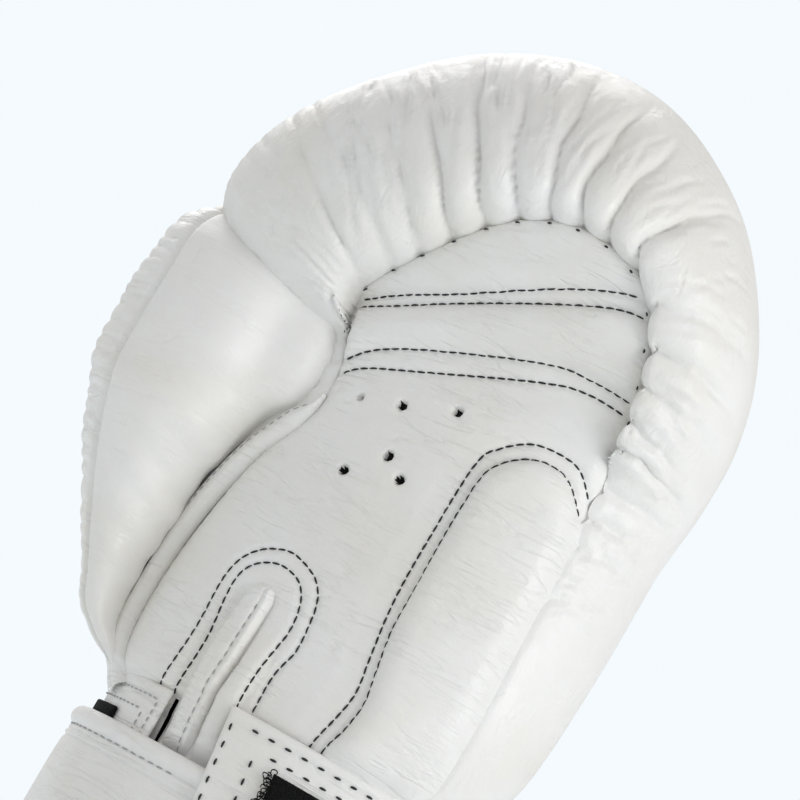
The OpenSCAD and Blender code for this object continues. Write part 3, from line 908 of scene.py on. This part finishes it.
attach(leaf, "glove")
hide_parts("slit_binding")


# ---- Thumb welt ----------------------------------------------------------
# A folded strip of leather sewn between the thumb and the palm panel, with a
# plain flange that runs on under the thumb.
welt_rings = 140
welt_path = evenly(through([(-52, 66), (-55.5, 70), (-60, 77), (-62.8, 90), (-62.2, 111), (-58.4, 130),
                            (-50.8, 150), (-42, 163.5), (-36.5, 171), (-34, 176)], 12), welt_rings)
ahead = np.gradient(welt_path, axis=0)
ahead /= np.linalg.norm(ahead, axis=1, keepdims=True)
across = np.stack([ahead[:, 1], -ahead[:, 0]], 1)
welt_rows = []
for (x, z), side, k in zip(welt_path, across, range(welt_rings)):
    flange = 0.1 + 0.8 * smooth_step((z - 76) / 10)
    u = np.r_[-1 - flange, -1 - flange * 0.66, -1 - flange * 0.33, np.linspace(-1, 1, 26)]
    half = 4.3 * min(1, (welt_rings - 1 - k) / 16 + 0.12)
    px, pz = x + side[0] * u * half, z + side[1] * u * half
    seam_y = palm_y(np.array([px[-1] + 0.3]), np.array([pz[-1]]))[0]
    crown = 3.9 * np.sqrt(np.maximum(0, 1 - u ** 2)) ** 0.9 - 0.5 * np.exp(-((u + 0.55) / 0.09) ** 2)
    welt_y = seam_y + 2.0 + 2.2 * np.maximum(-u, 0) - crown + 1.2 * tuck(px, pz)
    welt_rows.append(np.stack([px, welt_y, pz], 1))
welt_faces = grid_faces(welt_rings, len(u), False)[:, ::-1]
welt = new_piece("thumb_welt_leather", np.array(welt_rows), welt_faces, white_leather)
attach(welt, "glove")
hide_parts("thumb_welt")


# ---- Stitching -----------------------------------------------------------
# Waxed thread, each visible stitch its own short piece that dips into the
# leather at both ends.
def thread(name, colour):
    finish, tree, shader, place = new_finish(name)
    twist = tree.nodes.new("ShaderNodeTexNoise")
    twist.inputs["Scale"].default_value = 3000
    tree.links.new(place, twist.inputs["Vector"])
    tree.links.new(bumped(tree, twist.outputs["Fac"], 0.5, 0.0002), shader.inputs["Normal"])
    shader.inputs["Base Color"].default_value = (*colour, 1)
    shader.inputs["Roughness"].default_value = 0.6
    return finish


black_thread = thread("black_thread", (0.012, 0.012, 0.014))
grey_thread = thread("grey_thread", (0.42, 0.42, 0.43))


def stitches(name, runs, pitch, long, thick, material, body="glove"):
    """Stitches along runs of (points, outward directions), all in one piece."""
    rings = [(-0.5, 0.05, -0.45), (-0.36, 0.75, -0.12), (0, 1, 0.12), (0.36, 0.75, -0.12), (0.5, 0.05, -0.45)]
    points, faces = [], []
    for path, outward in runs:
        path, outward = np.asarray(path, float), np.asarray(outward, float)
        reach = np.r_[0, np.cumsum(np.linalg.norm(np.diff(path, axis=0), axis=1))]
        count = int(reach[-1] / pitch)
        for k in range(count):
            at = (k + 0.5) * pitch
            where = [np.interp(at + d * long, reach, path[:, i]) for d in (-0.5, 0, 0.5) for i in range(3)]
            start, middle, stop = (np.array(where[i:i + 3]) for i in (0, 3, 6))
            out = np.array([np.interp(at, reach, outward[:, i]) for i in range(3)])
            out /= np.linalg.norm(out)
            along = stop - start
            along /= max(np.linalg.norm(along), 1e-6)
            side = np.cross(along, out)
            slant = 0.12 * (np.random.rand() - 0.5)
            first = len(points)
            for place, fat, up in rings:
                c = middle + along * place * long + side * (slant * place * long)
                c = c + out * (up * thick * 1.6 + 0.15)
                for i in range(6):
                    a = i * math.pi / 3
                    points.append(c + (side * math.cos(a) + out * math.sin(a) * 0.8) * thick * fat)
            for r in range(4):
                for i in range(6):
                    j = (i + 1) % 6
                    low = first + r * 6
                    faces.append([low + i, low + j, low + 6 + j, low + 6 + i])
    piece = new_piece(name, np.array(points), np.array(faces), material)
    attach(piece, body)
    return piece


def on_palm(path):
    """A run on the palm leather: its points and outward directions."""
    found = [palm_hit(x, z) for x, z in path]
    found = [f for f in found if f]
    return np.array([f[0] for f in found]), np.array([f[1] for f in found])


def inside_palm(path):
    _, signed = from_outline(path[:, 0], path[:, 1])
    return path[(signed < -0.6) & (path[:, 1] > 70)]


palm_runs = [on_palm(inside_palm(row)) for row in stitch_rows.values()]
stitches("palm_stitching", palm_runs, 3.25, 2.95, 0.34, black_thread)


def on_strip(turns, grow, heights):
    """A run on a strip round the cuff."""
    points, outward = [], []
    for turn, z in zip(turns, heights):
        x, y = cuff_point(grow(turn), turn, z)
        ox, oy = cuff_point(grow(turn) + 5, turn, z)
        points.append((x, y, z))
        outward.append((ox - x, oy - y, 0))
    return np.array(points), np.array(outward)


def band_face(turn):
    return 2.75 + band_lift(turn)


tops = np.arange(-90, -20, 1.0)
flap_runs = [on_strip(tops, band_face, [band_top(t) - 4.0 for t in tops]),
             on_strip(tops[6:], band_face, [band_top(t) - 9.0 for t in tops[6:]]),
             on_strip([-93.2] * 30, band_face, np.linspace(73, 8, 30)),
             on_strip([-86.4] * 30, band_face, np.linspace(66, 8, 30))]
stitches("flap_stitching", flap_runs, 5.8, 2.4, 0.42, black_thread)
tops = np.arange(190, 241, 1.0)
tab_runs = [on_strip(tops, band_face, [band_top(t) - 4.6 for t in tops]),
            on_strip(tops[:-5], band_face, [band_top(t) - 9.5 for t in tops[:-5]]),
            on_strip([240.3] * 20, band_face, np.linspace(67, 20, 20)),
            on_strip([236.2] * 20, band_face, np.linspace(62, 20, 20))]
stitches("tab_stitching", tab_runs, 2.6, 1.7, 0.3, grey_thread)
strap_row = np.arange(110, 262, 1.0)
strap_runs = [on_strip(strap_row, lambda t: strap_face(t) - 0.75, [strap_high - 9.0] * len(strap_row))]
stitches("strap_stitching", strap_runs, 3.6, 2.5, 0.3, grey_thread, "strap")
leaf_line = np.array([leaf_rows[k, 26] for k in range(10, 110)])
slit_run = (leaf_line, np.tile((0, -1.0, 0), (len(leaf_line), 1)))
stitches("slit_stitching", [slit_run], 3.4, 2.2, 0.2, grey_thread)
welt_line = np.array([row[8] for row in welt_rows[26:-4]])
welt_run = (welt_line, np.tile((-0.3, -1.0, 0), (len(welt_line), 1)))
stitches("welt_stitching", [welt_run], 3.2, 2.1, 0.2, grey_thread)
knots = []
for at in pleat_numbers:
    x, z = palm_outline[at]
    ahead = palm_outline[at + 3] - palm_outline[at - 3]
    ahead /= np.linalg.norm(ahead)
    found = palm_hit(x + ahead[1] * 0.5, z - ahead[0] * 0.5)
    if found and z > 205:
        along = np.array([ahead[0], 0, ahead[1]]) * 0.6
        knots.append((np.array([found[0] - along - (0, 0.7, 0), found[0] + along - (0, 0.7, 0)]),
                      np.tile(found[1], (2, 1))))
stitches("arch_stitching", knots, 1.15, 1.5, 0.42, black_thread)

# ---- Frayed loops --------------------------------------------------------
# Single threads of the loop tape that stand out in curls at its cut end.
curls = []
for k in range(70):
    z = tape_low + 2 + k * 0.8
    if z > band_top(-80) - 12.5:
        break
    turn = -79.6 - np.random.uniform(0, 2.2)
    x, y = cuff_point(3.9 + band_lift(turn), turn, z)
    wide, tall, lean = np.random.uniform(0.5, 1.2), np.random.uniform(0.6, 1.5), np.random.uniform(-0.9, 0.9)
    opening = np.random.uniform(0, 6.28)
    turns = np.linspace(opening, opening + np.random.uniform(4.2, 6.6), 15)
    ring = np.array([(x + wide * math.cos(a) + 0.4 * math.sin(2 * a + lean), y - 0.5 - lean * math.cos(a),
                      z + tall * math.sin(a)) for a in turns])
    tube = []
    for centre_of, a in zip(ring, turns):
        for b in np.linspace(0, 2 * math.pi, 6, endpoint=False):
            around = (math.cos(a) * math.cos(b), math.sin(b), math.sin(a) * math.cos(b))
            tube.append(centre_of + 0.2 * np.array(around))
    curls.append((np.array(tube).reshape(-1, 3), grid_faces(15, 6, True) + 90 * k))
fray = new_piece("loop_tape_curls", np.vstack([c[0] for c in curls]), np.vstack([c[1] for c in curls]),
                 loop_black)
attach(fray, "glove")


# ---- Cloth linings and foam ----------------------------------------------
# The linings are a close black weave. The foam is only seen through openings.
lining_black = fuzzy("lining_black", (0.02, 0.02, 0.022), 2600, 0.0003, 0.85)
for node in ("hand_lining", "cuff_lining"):
    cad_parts[node].data.materials.clear()
    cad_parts[node].data.materials.append(lining_black)

bpy.ops.object.select_all(action="DESELECT")
